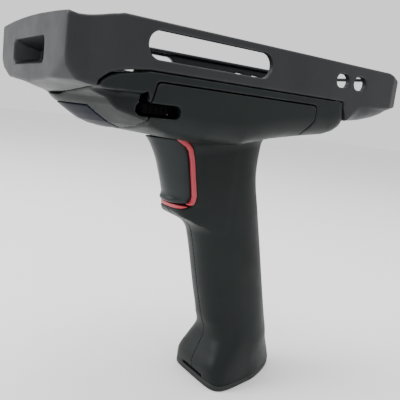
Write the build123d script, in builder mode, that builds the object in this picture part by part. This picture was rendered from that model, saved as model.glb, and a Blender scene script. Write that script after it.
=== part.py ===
"""Pistol-grip scan handle with a protective boot for a handheld computer.

Axes: X across the width (+X is the user's left), -Y is the nose, +Z is up.
Origin: centre of the footprint, with the foot of the grip standing on z = 0.
"""

from build123d import *
import math
import os

os.makedirs("parts", exist_ok=True)

# ---------------------------------------------------------------- driving dimensions, mm
half_width = 41.0
nose_y = -91.0
tail_y = 91.0
rim_z = 170.0
parting_z = 152.5
gap = 0.3
wall = 3.0

bay_half_width = 38.0
bay_front_y = -80.0
bay_back_y = 84.0
bay_floor_z = 152.2
lip_z = 168.2
lip = 2.0

window_half_width = 20.0
window_z = (150.4, 160.8)
tail_window_half_width = 20.0
tail_window_z = (156.2, 166.6)
side_slot_y = (-60.2, -1.5)
side_slot_z = (156.6, 166.8)
tail_hole_y = (42.9, 55.0)
tail_hole_size = (8.7, 6.2)
tail_hole_z = 161.9

saddle_top_z = 148.6
deck_z = (149.1, 152.1)
shell_wall = 2.5
hull_round = 10.0

catch_slot_y = (-59.6, -44.2)
catch_slot_z = (136.0, 141.0)
catch_slot_depth = 8.0

foot_height = 3.0
trigger_half_width = 11.0
bezel_inner = 11.7
pivot_y = -15.5
pivot_z = 121.5
pivot_radius = 1.0
pin_room = 12.5
button_y = -5.0
spring_y = 6.0

screw_points = ((33.0, 15.0), (24.0, 52.0), (16.0, 88.0), (18.0, 118.0))
screw_radius = 1.25
boss_radius = 3.2
saddle_screw_points = ((24.0, -40.0), (24.0, 12.0))

contact_y = -34.0
contact_pitch = 2.54
contact_count = 6

# Grip sections: height, front y, rear y, half width, front and rear roundness, taper to the rear
grip_sections = (
    (foot_height + 0.1, 6.0, 59.8, 17.0, 5.4, 1.7, 0.34),
    (10.0, 5.2, 56.9, 17.0, 4.6, 1.75, 0.28),
    (18.0, 7.0, 53.2, 17.0, 3.6, 1.85, 0.16),
    (25.0, 8.6, 50.4, 16.9, 2.7, 2.0, 0.08),
    (34.0, 8.0, 47.2, 16.7, 2.3, 2.1, 0.02),
    (50.0, 3.2, 42.6, 16.6, 2.2, 2.2, 0.0),
    (72.0, -2.4, 37.1, 16.6, 2.2, 2.2, 0.0),
    (92.0, -8.0, 31.7, 16.6, 2.3, 2.3, 0.0),
    (112.0, -11.0, 26.9, 16.6, 2.4, 2.3, 0.0),
    (131.0, -12.0, 27.6, 17.4, 2.4, 2.3, 0.0),
)
section_points = 20


def side_face(points):
    """Closed polygon in the side view, points as (y, z)."""
    with BuildSketch(Plane.YZ) as face:
        with BuildLine():
            Polyline(*points, close=True)
        make_face()
    return face.sketch


def plan_face(points, height=0.0):
    """Closed polygon in the plan view, points as (x, y)."""
    with BuildSketch(Plane.XY.offset(height)) as face:
        with BuildLine():
            Polyline(*points, close=True)
        make_face()
    return face.sketch


def box_between(low, high, mode=Mode.ADD):
    """Box from one corner to the other, in the part under construction."""
    middle = [(a + b) / 2 for a, b in zip(low, high)]
    size = [b - a for a, b in zip(low, high)]
    with Locations(tuple(middle)):
        Box(*size, mode=mode)


def rod_x(y, z, radius, x_from, x_to, mode=Mode.ADD):
    """Cylinder along X from x_from to x_to."""
    with BuildSketch(Plane.YZ.offset(x_from)) as ring:
        with Locations((y, z)):
            Circle(radius)
    extrude(ring.sketch, amount=x_to - x_from, mode=mode)


def rod_z(x, y, radius, z_from, z_to, mode=Mode.ADD):
    """Cylinder along Z from z_from to z_to."""
    with BuildSketch(Plane.XY.offset(z_from)) as ring:
        with Locations((x, y)):
            Circle(radius)
    extrude(ring.sketch, amount=z_to - z_from, mode=mode)


def finish(piece, name):
    """Label a piece and write its STEP file."""
    piece.part.label = name
    export_step(piece.part, f"parts/{name}.step")


def grip_outline(front, rear, width, round_front, round_rear, taper, inset):
    """Points of one grip section: a superellipse, blunter in front, narrower behind."""
    middle = (front + rear) / 2
    depth = (rear - front) / 2 - inset
    points = []
    for step in range(section_points):
        angle = 2 * math.pi * step / section_points
        power = 2 / (round_rear if math.sin(angle) > 0 else round_front)
        along = math.copysign(abs(math.sin(angle)) ** power, math.sin(angle))
        across = math.copysign(abs(math.cos(angle)) ** power, math.cos(angle))
        points.append(((width - inset) * across * (1 - taper * along), middle + depth * along))
    return points


def grip_solid(inset, top, bottom):
    """Loft of the grip's sections, shrunk by the inset, between two heights."""
    with BuildPart() as core:
        for height, front, rear, width, n_front, n_rear, taper in grip_sections:
            with BuildSketch(Plane.XY.offset(height)):
                with BuildLine():
                    Spline(*grip_outline(front, rear, width, n_front, n_rear, taper, inset), periodic=True)
                make_face()
        loft()
        box_between((-60, -60, bottom), (60, 90, top), mode=Mode.INTERSECT)
    return core.part


def hull_slice(points, low_z, inset=0.0):
    """Side-view polygon as wide as the hull, less the inset, with rounded lower corners."""
    top_z = rim_z
    with BuildPart() as slice_part:
        extrude(side_face(points), amount=half_width - inset, both=True)
        with BuildSketch(Plane.XZ.offset(-2 * tail_y)) as section:
            with Locations((0, (low_z + top_z) / 2)):
                Rectangle(2 * (half_width - inset), top_z - low_z)
            fillet(section.vertices().group_by(Axis.Y)[0], hull_round - inset)
        extrude(section.sketch, amount=4 * tail_y, mode=Mode.INTERSECT)
    return slice_part.part


def swept_solid(points, reach):
    """Side-view polygon across the width, swept back on both sides of the keel like a bow."""
    with BuildPart() as swept:
        extrude(side_face(points), amount=keel_half_width, both=True)
        for side in (-1, 1):
            with BuildSketch(Plane.YZ.offset(side * keel_half_width)) as face:
                with BuildLine():
                    Polyline(*points, close=True)
                make_face()
            length = (reach - keel_half_width) * math.hypot(1, bow_sweep)
            extrude(face.sketch, amount=length, dir=(side, bow_sweep, 0))
    return swept.part


# ---------------------------------------------------------------- boot frame
# Bow under the nose: centre profile of boot, sled and chin, swept back at the sides
keel_half_width = 4.0
bow_sweep = 0.38
bow_keel = (
    (-105.1, 153.4),
    (-103.5, 149.6),
    (-99.2, 145.6),
    (-91.4, 144.2),
    (-81.3, 141.2),
    (-79.0, 139.0),
    (-75.4, 136.5),
    (-71.7, 134.1),
    (-67.9, 131.9),
    (-64.2, 130.6),
    (-60.3, 129.3),
    (-50.0, 120.0),
)
bow_limits = ((200.0, 120.0), (200.0, 200.0), (-105.1, 200.0))
boot_side = (
    (nose_y, 141.3),
    (nose_y, 168.0),
    (-87.0, 167.2),
    (-80.0, 167.6),
    (-75.0, 168.2),
    (-72.4, 168.9),
    (-70.0, rim_z),
    (77.0, rim_z),
    (89.0, 166.8),
    (tail_y, 165.6),
    (90.2, 153.4),
    (87.5, 152.8),
    (83.8, 150.2),
    (76.0, 147.5),
    (68.0, 145.5),
    (60.0, 144.3),
    (50.0, 143.6),
    (46.2, 149.4),
    (45.6, parting_z),
    (-59.0, parting_z),
    (-66.6, 151.7),
    (-70.7, 150.8),
    (-74.2, 149.5),
    (-76.2, 147.9),
    (-77.6, 146.3),
    (-78.3, 144.0),
    (-78.8, 141.3),
)
tail_pocket = ((50.0, 149.2), (52.6, 146.2), (66.0, 147.8), (74.0, 149.2))
facet_x = 30.0
facet_y = 46.0
facet_z = 143.3
facet_slope = 0.65
facet_rise = 0.24
corner_nose = 2.0
corner_tail = 8.0
tab_y = (-60.0, -58.0)
tab_x = (30.0, 37.5)
tab_z = 144.0
tab_shelf_z = 149.5
tab_hole_x = (32.0, 36.0)
tab_hole_z = (145.2, 148.0)

with BuildPart() as boot_frame:
    extrude(side_face(boot_side), amount=half_width, both=True)
    extrude(
        plan_face(
            (
                (-half_width + corner_nose, nose_y),
                (half_width - corner_nose, nose_y),
                (half_width, nose_y + corner_nose),
                (half_width, tail_y - corner_tail),
                (half_width - corner_tail / 3, tail_y - corner_tail / 3),
                (half_width - corner_tail, tail_y),
                (-half_width + corner_tail, tail_y),
                (-half_width + corner_tail / 3, tail_y - corner_tail / 3),
                (-half_width, tail_y - corner_tail),
                (-half_width, nose_y + corner_nose),
            )
        ),
        amount=200,
        mode=Mode.INTERSECT,
    )
    add(swept_solid(bow_keel + bow_limits, half_width + 1), mode=Mode.INTERSECT)
    # facets under the tail's corners, wider towards the end
    for side in (-1, 1):
        with BuildSketch(Plane.XZ.offset(-facet_y)) as facet:
            with BuildLine():
                Polyline(
                    (side * (half_width + 1), facet_z + facet_slope),
                    (side * facet_x, facet_z - facet_slope * (half_width - facet_x)),
                    (side * facet_x, 120.0),
                    (side * (half_width + 1), 120.0),
                    close=True,
                )
            make_face()
        extrude(facet.sketch, amount=60, dir=(0, 1, facet_rise), mode=Mode.SUBTRACT)
    # device bay, open at the top between the rim lips
    box_between(
        (-bay_half_width, bay_front_y, bay_floor_z),
        (bay_half_width, bay_back_y, lip_z),
        mode=Mode.SUBTRACT,
    )
    box_between(
        (-bay_half_width, -64.0, 140),
        (bay_half_width, 43.5, bay_floor_z),
        mode=Mode.SUBTRACT,
    )
    with BuildSketch(Plane.XY.offset(lip_z)) as mouth:
        with Locations((0, (bay_front_y + bay_back_y) / 2)):
            RectangleRounded(2 * (bay_half_width - lip), bay_back_y - bay_front_y - 2 * lip, 8)
    extrude(mouth.sketch, amount=10, mode=Mode.SUBTRACT)
    # hollow underside of the tail
    extrude(side_face(tail_pocket), amount=bay_half_width - lip, both=True, mode=Mode.SUBTRACT)
    # nose window
    with BuildSketch(Plane.XZ.offset(-nose_y + 1)) as window:
        with Locations((0, sum(window_z) / 2)):
            RectangleRounded(2 * window_half_width, window_z[1] - window_z[0], 3)
    extrude(window.sketch, amount=-14, mode=Mode.SUBTRACT)
    # opening at the tail, under the rim
    with BuildSketch(Plane.XZ.offset(-tail_y - 1)) as tail_window:
        with Locations((0, sum(tail_window_z) / 2)):
            RectangleRounded(2 * tail_window_half_width, tail_window_z[1] - tail_window_z[0], 3)
    extrude(tail_window.sketch, amount=12, mode=Mode.SUBTRACT)
    # side slots and tail holes, through both walls
    with BuildSketch(Plane.YZ.offset(-60)) as openings:
        with Locations((sum(side_slot_y) / 2, sum(side_slot_z) / 2)):
            RectangleRounded(side_slot_y[1] - side_slot_y[0], side_slot_z[1] - side_slot_z[0], 5)
        for hole_y in tail_hole_y:
            with Locations((hole_y, tail_hole_z)):
                SlotOverall(*tail_hole_size)
    extrude(openings.sketch, amount=120, mode=Mode.SUBTRACT)
    # L-shaped tabs that hang into the sled, each with a hole that a catch enters
    for side in (-1, 1):
        for x_from, x_to, z_from, z_to in (
            (tab_x[0], tab_x[1], tab_z, tab_shelf_z),
            (tab_x[0], half_width - 1.3, tab_shelf_z, parting_z),
            (bay_half_width, half_width - 1.3, parting_z, parting_z + 1.5),
        ):
            low, high = sorted((side * x_from, side * x_to))
            box_between((low, tab_y[0], z_from), (high, tab_y[1], z_to))
        low, high = sorted((side * tab_hole_x[0], side * tab_hole_x[1]))
        box_between(
            (low, tab_y[0] - 1, tab_hole_z[0]),
            (high, tab_y[1] + 1, tab_hole_z[1]),
            mode=Mode.SUBTRACT,
        )
finish(boot_frame, "boot_frame")


# ---------------------------------------------------------------- sled tray
hull_low_z = 129.6
saddle_low_z = 127.4
chin_half_width = 17.0
sled_side = (
    (-95.0, hull_low_z),
    (-95.0, 140.8),
    (-78.4, 140.8),
    (-77.8, 144.0),
    (-77.0, 146.0),
    (-75.7, 147.5),
    (-73.9, 149.0),
    (-70.6, 150.3),
    (-66.5, 151.2),
    (-58.9, deck_z[1]),
    (45.2, deck_z[1]),
    (45.8, 149.2),
    (49.6, 143.2),
    (48.6, 139.6),
    (46.0, 137.5),
    (40.8, 136.1),
    (28.0, 134.4),
    (8.0, 131.6),
    (-6.0, hull_low_z),
)
saddle_pocket = (
    (-55.3, deck_z[0]),
    (28.2, deck_z[0]),
    (28.2, 142.0),
    (24.6, 136.7),
    (24.6, 110.0),
    (-57.3, 110.0),
    (-57.3, 140.8),
)
front_hollow = (
    (-76.4, 139.4),
    (-72.4, 145.6),
    (-68.8, deck_z[0]),
    (-50.0, deck_z[0]),
    (-50.0, 132.2),
    (-62.6, 132.8),
    (-69.8, 136.4),
)
side_hollow = (
    (-61.5, 138.8),
    (-66.5, 143.5),
    (-66.5, deck_z[0]),
    (-50.0, deck_z[0]),
    (-50.0, 132.2),
    (-58.2, 136.6),
)
rear_hollow = (
    (24.0, 137.0),
    (39.6, 139.0),
    (44.0, 140.6),
    (46.4, 143.2),
    (43.6, deck_z[0]),
    (24.0, deck_z[0]),
)
chin_side = bow_keel[5:10] + (
    (-62.2, 130.0),
    (-62.2, 132.2),
    (-66.9, 133.7),
    (-70.5, 135.8),
    (-77.6, 140.0),
)
chin_opening = (
    (-80.2, 139.4),
    (-76.4, 134.0),
    (-65.0, 128.0),
    (-61.9, 128.0),
    (-61.9, 132.6),
    (-66.8, 134.1),
    (-70.3, 136.2),
    (-77.4, 140.4),
)
scoop_side = ((-71.0, 142.6), (-60.6, 134.4), (-58.4, 134.4), (-57.4, 142.6))
scoop_depth = 1.4
block_size = (24.0, 8.0, 6.0)
block_base_z = 147.2
countersink_z = 150.3
head_radius = 2.6

with BuildPart() as sled_tray:
    add(hull_slice(sled_side, hull_low_z))
    add(swept_solid(bow_keel + bow_limits, half_width + 1), mode=Mode.INTERSECT)
    extrude(side_face(saddle_pocket), amount=half_width, both=True, mode=Mode.SUBTRACT)
    add(swept_solid(front_hollow, half_width - wall - 1), mode=Mode.SUBTRACT)
    for hollow in (side_hollow, rear_hollow):
        add(hull_slice(hollow, hull_low_z + shell_wall, wall), mode=Mode.SUBTRACT)
    add(swept_solid(chin_opening, chin_half_width + gap), mode=Mode.SUBTRACT)
    for side in (-1, 1):
        # finger scoop and catch slot
        with BuildSketch(Plane.YZ.offset(side * (half_width - scoop_depth))) as scoop:
            with BuildLine():
                Polyline(*scoop_side, close=True)
            make_face()
        extrude(scoop.sketch, amount=side * 2 * scoop_depth, mode=Mode.SUBTRACT)
        low, high = sorted((side * (half_width - catch_slot_depth), side * (half_width + 1)))
        box_between(
            (low, catch_slot_y[0], catch_slot_z[0]),
            (high, catch_slot_y[1], catch_slot_z[1]),
            mode=Mode.SUBTRACT,
        )
        # slot in the deck for the boot's tab
        low, high = sorted((side * (tab_x[0] - gap), side * (half_width - 1)))
        box_between(
            (low, tab_y[0] - gap, deck_z[0] - 1),
            (high, tab_y[1] + gap, deck_z[1] + 1),
            mode=Mode.SUBTRACT,
        )
        for x, y in saddle_screw_points:
            rod_z(side * x, y, screw_radius, deck_z[0] - 1, deck_z[1] + 1, mode=Mode.SUBTRACT)
            rod_z(side * x, y, head_radius, countersink_z, deck_z[1] + 1, mode=Mode.SUBTRACT)
    # opening for the contact block
    box_between(
        (-block_size[0] / 2, contact_y - block_size[1] / 2, deck_z[0] - 1),
        (block_size[0] / 2, contact_y + block_size[1] / 2, deck_z[1] + 1),
        mode=Mode.SUBTRACT,
    )
finish(sled_tray, "sled_tray")

with BuildPart() as chin_cover:
    add(swept_solid(chin_side, chin_half_width))
finish(chin_cover, "chin_cover")

# ---------------------------------------------------------------- grip shells
saddle_side = (
    (-54.9, saddle_top_z),
    (27.8, saddle_top_z),
    (27.8, 142.1),
    (24.2, 136.8),
    (24.2, 133.7),
    (8.0, 131.3),
    (-4.0, saddle_low_z + 0.6),
    (-14.0, saddle_low_z),
    (-30.0, saddle_low_z),
    (-56.9, 129.4),
    (-56.9, 140.8),
)
saddle_hollow = (
    (-60.0, 132.4),
    (-60.0, saddle_top_z + 1),
    (25.0, saddle_top_z + 1),
    (25.0, 142.8),
    (21.4, 137.4),
    (21.4, 136.2),
    (7.6, 134.0),
    (-4.4, 130.8),
    (-14.0, saddle_low_z + shell_wall),
    (-30.0, saddle_low_z + shell_wall),
)
front_block = (
    (0.0, 128.0),
    (-24.2, 127.8),
    (-20.1, 125.5),
    (-18.0, 123.1),
    (-16.4, 118.3),
    (-13.1, 101.2),
    (-13.6, 98.1),
    (-15.4, 96.2),
    (-18.2, 94.7),
    (-20.2, 94.1),
    (-20.4, 92.8),
    (-17.8, 90.5),
    (-14.2, 88.4),
    (-9.2, 87.0),
    (0.0, 86.0),
)
bezel_outer = (
    (-26.2, 126.6),
    (-21.5, 123.8),
    (-19.9, 122.1),
    (-18.6, 117.8),
    (-15.3, 101.2),
    (-15.8, 99.0),
    (-16.9, 97.9),
    (-19.0, 96.7),
    (-20.3, 96.3),
)
block_half_width = 13.2
ledge_y = (-20.5, 8.5)
ledge_roundness = 4.0
ledge_z = (80.0, 97.0)
throat_side = (
    (-8.0, 129.0),
    (-8.0, 137.4),
    (21.4, 137.4),
    (21.4, 129.0),
)
throat_half_width = 12.0
arm_half_width = 4.0
trigger_well = (
    (-40.0, saddle_low_z),
    (-9.4, saddle_low_z),
    (-9.4, 98.8),
    (-12.4, 96.6),
    (-17.0, 94.9),
    (-40.0, 93.0),
)
lanyard_half_width = 9.0
lanyard_y = (8.6, 13.4)
lanyard_gap_z = 4.9
post_half_width = 4.0
counterbore_radius = 2.8
head_x = (-12.2, -9.8)
insert_radius = 2.0
insert_x = (0.6, 8.6)
post_insert_x = (4.6, 8.6)
screw_tip_x = 8.0


def ledge_block(points):
    """Side-view polygon as wide as the trigger block, its ledge rounded in plan."""
    outline = grip_outline(*ledge_y, block_half_width, ledge_roundness, ledge_roundness, 0.0, 0.0)
    with BuildPart() as ledge:
        extrude(side_face(points), amount=block_half_width, both=True)
        with BuildSketch(Plane.XY.offset(ledge_z[0])) as plan:
            with BuildLine():
                Spline(*outline, periodic=True)
            make_face()
        extrude(plan.sketch, amount=ledge_z[1] - ledge_z[0], mode=Mode.INTERSECT)
    with BuildPart() as whole:
        extrude(side_face(points), amount=block_half_width, both=True)
        box_between(
            (-half_width, -half_width, ledge_z[0]),
            (half_width, sum(ledge_y) / 2, ledge_z[1]),
            mode=Mode.SUBTRACT,
        )
        add(ledge.part)
    return whole.part


with BuildPart() as grip_whole:
    add(hull_slice(saddle_side, saddle_low_z))
    add(swept_solid(bow_keel + bow_limits, half_width + 1), mode=Mode.INTERSECT)
    add(grip_solid(0.0, saddle_low_z + 3, foot_height + 0.1))
    add(ledge_block(front_block))
    add(hull_slice(saddle_hollow, saddle_low_z + shell_wall, wall), mode=Mode.SUBTRACT)
    add(grip_solid(shell_wall, saddle_low_z + 3.6, foot_height + 0.1), mode=Mode.SUBTRACT)
    extrude(side_face(throat_side), amount=throat_half_width, both=True, mode=Mode.SUBTRACT)
    extrude(side_face(trigger_well), amount=bezel_inner, both=True, mode=Mode.SUBTRACT)
    # opening for the trigger's rear arm
    box_between(
        (-arm_half_width - 1, -12.0, 115.0),
        (arm_half_width + 1, 0.0, saddle_low_z - 1),
        mode=Mode.SUBTRACT,
    )
    # room for the switch above the arm
    box_between(
        (-arm_half_width - 1, -9.2, 115.0),
        (arm_half_width + 1, 2.0, saddle_low_z + 5),
        mode=Mode.SUBTRACT,
    )
    # way in for a lanyard above the front of the foot
    box_between(
        (-lanyard_half_width, 0.0, 0.0),
        (lanyard_half_width, lanyard_y[1], lanyard_gap_z),
        mode=Mode.SUBTRACT,
    )
    for side in (-1, 1):
        low, high = sorted((side * (half_width - catch_slot_depth), side * (half_width + 1)))
        box_between(
            (low, catch_slot_y[0], catch_slot_z[0]),
            (high, catch_slot_y[1], catch_slot_z[1]),
            mode=Mode.SUBTRACT,
        )
        for x, y in saddle_screw_points:
            rod_z(side * x, y, boss_radius, saddle_low_z + 1, saddle_top_z)
            rod_z(side * x, y, screw_radius, 136.0, saddle_top_z + 1, mode=Mode.SUBTRACT)
    for y, z in screw_points:
        rod_x(y, z, boss_radius + 1, -14.6, 14.6)
        rod_x(y, z, screw_radius, -20.0, screw_tip_x, mode=Mode.SUBTRACT)
        rod_x(y, z, counterbore_radius, -20.0, head_x[1], mode=Mode.SUBTRACT)
        rod_x(y, z, insert_radius, insert_x[0], insert_x[1], mode=Mode.SUBTRACT)
    # room for the base cap's post between the lowest pair of bosses
    post_y, post_z = screw_points[0]
    box_between(
        (-post_half_width - gap, post_y - 6, 0.0),
        (post_half_width + gap, post_y + 6, post_z + 6),
        mode=Mode.SUBTRACT,
    )
    # blind bores for the trigger pin
    rod_x(pivot_y, pivot_z, pivot_radius, -pin_room, pin_room, mode=Mode.SUBTRACT)

for name, keep in (("grip_shell_left", Keep.TOP), ("grip_shell_right", Keep.BOTTOM)):
    with BuildPart() as grip_half:
        add(grip_whole.part)
        split(bisect_by=Plane.YZ, keep=keep)
    finish(grip_half, name)

# ---------------------------------------------------------------- fasteners of the grip
with BuildPart() as grip_screws:
    for y, z in screw_points:
        rod_x(y, z, screw_radius, head_x[1], screw_tip_x)
        rod_x(y, z, head_radius, head_x[0], head_x[1])
        with BuildSketch(Plane.YZ.offset(head_x[0])) as recess:
            with Locations((y, z)):
                RegularPolygon(1.1, 6)
        extrude(recess.sketch, amount=1.2, mode=Mode.SUBTRACT)
finish(grip_screws, "grip_screws")

with BuildPart() as grip_inserts:
    for y, z in screw_points:
        x_from, x_to = post_insert_x if (y, z) == screw_points[0] else insert_x
        rod_x(y, z, insert_radius, x_from, x_to)
        rod_x(y, z, screw_radius, x_from - 1, screw_tip_x, mode=Mode.SUBTRACT)
finish(grip_inserts, "grip_inserts")

with BuildPart() as saddle_screws:
    for side in (-1, 1):
        for x, y in saddle_screw_points:
            rod_z(side * x, y, screw_radius, 137.0, countersink_z)
            rod_z(side * x, y, head_radius, countersink_z, deck_z[1] - 0.1)
            with BuildSketch(Plane.XY.offset(deck_z[1] - 0.1)) as recess:
                with Locations((side * x, y)):
                    RegularPolygon(1.1, 6)
            extrude(recess.sketch, amount=-1.0, mode=Mode.SUBTRACT)
finish(saddle_screws, "saddle_screws")

# ---------------------------------------------------------------- trigger group
arm_top_z = 122.0
bezel_low_z = 95.9
# Trigger sections: height and front y, each an ellipse about one centre line
trigger_sections = (
    (96.6, -23.0),
    (98.2, -23.4),
    (100.6, -23.0),
    (104.0, -23.9),
    (108.0, -25.4),
    (112.0, -26.9),
    (116.0, -28.4),
    (120.0, -30.3),
    (123.4, -32.6),
    (126.8, -35.6),
)
trigger_center_y = -12.4
trigger_roundness = 2.1
trigger_rear = (
    (-60.0, 90.0),
    (-16.0, 90.0),
    (-15.4, 96.6),
    (-13.0, 99.6),
    (-12.2, 105.0),
    (-11.6, 112.0),
    (-11.2, 120.0),
    (-12.6, 124.4),
    (-17.0, 127.4),
    (-60.0, 130.0),
)
arm_end_y = spring_y + 3.2
arm_low_z = 118.6
pin_half_length = 12.4
pin_clearance = 0.05

bezel_rear = ((-23.7, 127.3),) + front_block[2:10]

with BuildPart() as trigger_bezel:
    add(ledge_block(bezel_outer + tuple(reversed(bezel_rear))))
    box_between((-bezel_inner, -40, bezel_low_z), (bezel_inner, 0, 130), mode=Mode.SUBTRACT)
finish(trigger_bezel, "trigger_bezel")

with BuildPart() as trigger:
    for height, front in trigger_sections:
        rear = 2 * trigger_center_y - front
        outline = grip_outline(
            front, rear, trigger_half_width, trigger_roundness, trigger_roundness, 0.0, 0.0
        )
        with BuildSketch(Plane.XY.offset(height)):
            with BuildLine():
                Spline(*outline, periodic=True)
            make_face()
    loft()
    extrude(side_face(trigger_rear), amount=half_width, both=True, mode=Mode.INTERSECT)
    box_between((-arm_half_width, -18.0, arm_low_z), (arm_half_width, arm_end_y, arm_top_z))
    rod_x(pivot_y, pivot_z, pivot_radius + pin_clearance, -20, 20, mode=Mode.SUBTRACT)
finish(trigger, "trigger")

with BuildPart() as trigger_pin:
    rod_x(pivot_y, pivot_z, pivot_radius, -pin_half_length, pin_half_length)
finish(trigger_pin, "trigger_pin")

bracket_z = (133.0, 135.0)
bracket_y = (-13.0, 11.0)
board_thickness = 1.4
switch_half_width = 3.2
switch_y = (-8.6, 1.0)
switch_low_z = 124.4
button_radius = 1.0
button_low_z = arm_top_z + gap
button_top_z = 126.8
button_room = 1.2
spring_radius = 2.2
spring_wire = 0.25
spring_turns = 7
cup_pin_radius = 1.4

with BuildPart() as mechanism_bracket:
    box_between((-11.0, bracket_y[0], bracket_z[0]), (11.0, bracket_y[1], bracket_z[1]))
    for side in (-1, 1):
        rod_z(side * 8.0, -2.0, 2.6, bracket_z[1], deck_z[0])
    rod_z(0, spring_y, cup_pin_radius, bracket_z[0] - 4.0, bracket_z[0])
finish(mechanism_bracket, "mechanism_bracket")

with BuildPart() as trigger_spring:
    spring_low_z = arm_top_z + spring_wire + 0.05
    spring_height = bracket_z[0] - spring_wire - 0.05 - spring_low_z
    with BuildLine(Plane.XY.offset(spring_low_z)) as coil:
        Helix(pitch=spring_height / spring_turns, height=spring_height, radius=spring_radius)
    with BuildSketch(Plane(origin=coil.line @ 0, z_dir=coil.line % 0)) as wire:
        Circle(spring_wire)
    sweep(wire.sketch, path=coil.line, is_frenet=True)
    trigger_spring.part.position = (0, spring_y, 0)
finish(trigger_spring, "trigger_spring")

with BuildPart() as trigger_switch:
    box_between(
        (-switch_half_width, switch_y[0], switch_low_z),
        (switch_half_width, switch_y[1], bracket_z[0] - board_thickness),
    )
    rod_z(
        0,
        button_y,
        button_radius + pin_clearance,
        switch_low_z,
        button_top_z + button_room,
        mode=Mode.SUBTRACT,
    )
finish(trigger_switch, "trigger_switch")

with BuildPart() as switch_button:
    rod_z(0, button_y, button_radius, button_low_z, button_top_z)
finish(switch_button, "switch_button")

with BuildPart() as switch_board:
    box_between((-5.0, -12.5, bracket_z[0] - board_thickness), (9.0, 2.0, bracket_z[0]))
finish(switch_board, "switch_board")

# ---------------------------------------------------------------- contacts in the deck
barrel_radius = 0.9
barrel_top_z = block_base_z + block_size[2]
pin_tip_radius = 0.6
barrel_floor = 0.5
pin_tip_round = 0.36
board_half_size = (14.0, 6.0)
contact_top_z = 154.6
contact_low_z = 149.2
contact_x = [contact_pitch * (step - (contact_count - 1) / 2) for step in range(contact_count)]
contact_board_z = (block_base_z - 1.4, block_base_z)

with BuildPart() as contact_block:
    box_between(
        (-block_size[0] / 2, contact_y - block_size[1] / 2, block_base_z),
        (block_size[0] / 2, contact_y + block_size[1] / 2, barrel_top_z),
    )
    for x in contact_x:
        rod_z(x, contact_y, barrel_radius, block_base_z, barrel_top_z, mode=Mode.SUBTRACT)
finish(contact_block, "contact_block")

with BuildPart() as contact_barrels:
    for x in contact_x:
        rod_z(x, contact_y, barrel_radius, block_base_z, barrel_top_z)
        rod_z(
            x,
            contact_y,
            pin_tip_radius + pin_clearance,
            block_base_z + barrel_floor,
            barrel_top_z,
            mode=Mode.SUBTRACT,
        )
finish(contact_barrels, "contact_barrels")

with BuildPart() as contact_pins:
    for x in contact_x:
        rod_z(x, contact_y, pin_tip_radius, contact_low_z, contact_top_z)
    fillet(contact_pins.edges().group_by(Axis.Z)[-1], pin_tip_round)
finish(contact_pins, "contact_pins")

with BuildPart() as contact_board:
    box_between(
        (-board_half_size[0], contact_y - board_half_size[1], contact_board_z[0]),
        (board_half_size[0], contact_y + board_half_size[1], contact_board_z[1]),
    )
finish(contact_board, "contact_board")

cable_radius = 0.8
cable_bend = 4.0
cable_route = (
    (7.0, -13.5, 132.3),
    (7.0, -16.5, 132.3),
    (7.0, -22.5, 135.3),
    (7.0, -26.0, 141.0),
    (7.0, -29.6, 145.0),
)
with BuildPart() as switch_cable:
    with BuildLine() as route:
        FilletPolyline(*cable_route, radius=cable_bend)
    with BuildSketch(Plane(origin=route.line @ 0, z_dir=route.line % 0)) as section:
        Circle(cable_radius)
    sweep(section.sketch, path=route.line)
finish(switch_cable, "switch_cable")

# ---------------------------------------------------------------- boot catches
catch_button_x = (36.4, 38.6)
catch_button_y = (-59.0, -49.0)
catch_plate_x = (34.6, 36.4)
catch_plate_y = (-59.4, -45.0)
catch_plate_z = (137.8, 142.6)
catch_arm_x = (32.6, 35.4)
catch_arm_y = (-56.0, -49.0)
catch_tongue_y = -61.0
catch_tongue_z = (145.8, 147.4)
catch_button_z = (137.2, catch_slot_z[1] - 0.4)
grip_rib = 0.5

for name, side in (("catch_left", 1), ("catch_right", -1)):
    with BuildPart() as catch:
        for x_pair, y_pair, z_pair in (
            (catch_button_x, catch_button_y, catch_button_z),
            (catch_plate_x, catch_plate_y, catch_plate_z),
            (catch_arm_x, catch_arm_y, (catch_plate_z[0], catch_tongue_z[1])),
            (catch_arm_x, (catch_tongue_y, catch_arm_y[0]), catch_tongue_z),
        ):
            low, high = sorted((side * x_pair[0], side * x_pair[1]))
            box_between((low, y_pair[0], z_pair[0]), (high, y_pair[1], z_pair[1]))
        # moulded spring arm that bears on the inside of the wall
        extrude(
            plan_face(
                (
                    (side * 35.0, -46.0),
                    (side * 36.2, -46.0),
                    (side * 37.6, -35.0),
                    (side * 36.6, -35.0),
                ),
                catch_slot_z[0],
            ),
            amount=catch_slot_z[1] - catch_slot_z[0],
        )
        # grip ribs on the button's face
        for step in range(4):
            y = catch_button_y[0] + 2.0 + 2.2 * step
            low, high = sorted((side * catch_button_x[1], side * (catch_button_x[1] + grip_rib)))
            box_between((low, y, catch_button_z[0] + 0.5), (high, y + 0.8, catch_button_z[1] - 0.5))
    finish(catch, name)

# ---------------------------------------------------------------- bay lining
pad_size = (8.0, 18.0, 1.2)
pad_x = 31.5
pad_y = (-44.0, 30.0)
bumper_width = 8.0
bumper_thickness = 1.6
bumper_x = 27.0
bumper_round = 2.0
with BuildPart() as bay_pads:
    for side in (-1, 1):
        for y in pad_y:
            with Locations((side * pad_x, y, deck_z[1] + pad_size[2] / 2)):
                Box(*pad_size)
finish(bay_pads, "bay_pads")

with BuildPart() as tail_bumper:
    for side in (-1, 1):
        with Locations((side * bumper_x, bay_back_y - bumper_thickness / 2, sum(tail_window_z) / 2)):
            Box(bumper_width, bumper_thickness, tail_window_z[1] - tail_window_z[0])
    fillet(tail_bumper.edges().filter_by(Axis.Y), bumper_round)
finish(tail_bumper, "tail_bumper")

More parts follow.
